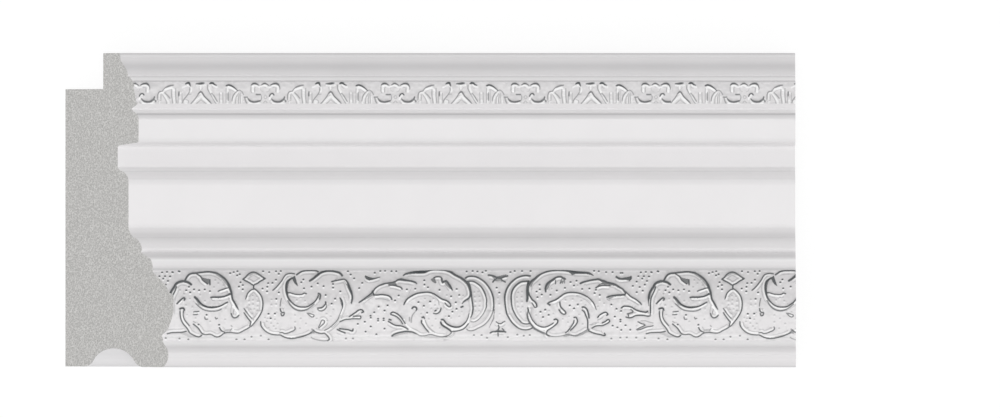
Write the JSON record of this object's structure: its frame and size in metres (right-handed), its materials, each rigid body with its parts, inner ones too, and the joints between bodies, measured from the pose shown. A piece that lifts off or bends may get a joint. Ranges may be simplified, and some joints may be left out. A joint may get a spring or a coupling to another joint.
{
  "type": "decorative wall moulding",
  "caption": "Embossed white wall moulding, mitred at one end and square at the other, with a rebated back behind its lip and a half-round cable groove along its foot.",
  "frame": {"origin": "centre of the rectangle the moulding rests on when it lies on its flat back: mid-length, mid-height of the face, at the back face", "axes": "+X along the length, from the mitred end to the square end; +Y up the face, from the grooved foot edge to the rebated lip; +Z out from the back, towards the ornament"},
  "size_m": [0.17, 0.073, 0.026],
  "materials": {
    "white_finish": "white factory coating with a soft satin sheen",
    "cut_foam": "raw sawn foam, grey and finely speckled"
  },
  "bodies": {
    "root": {"moulding": "white_finish"}
  },
  "joints": []
}
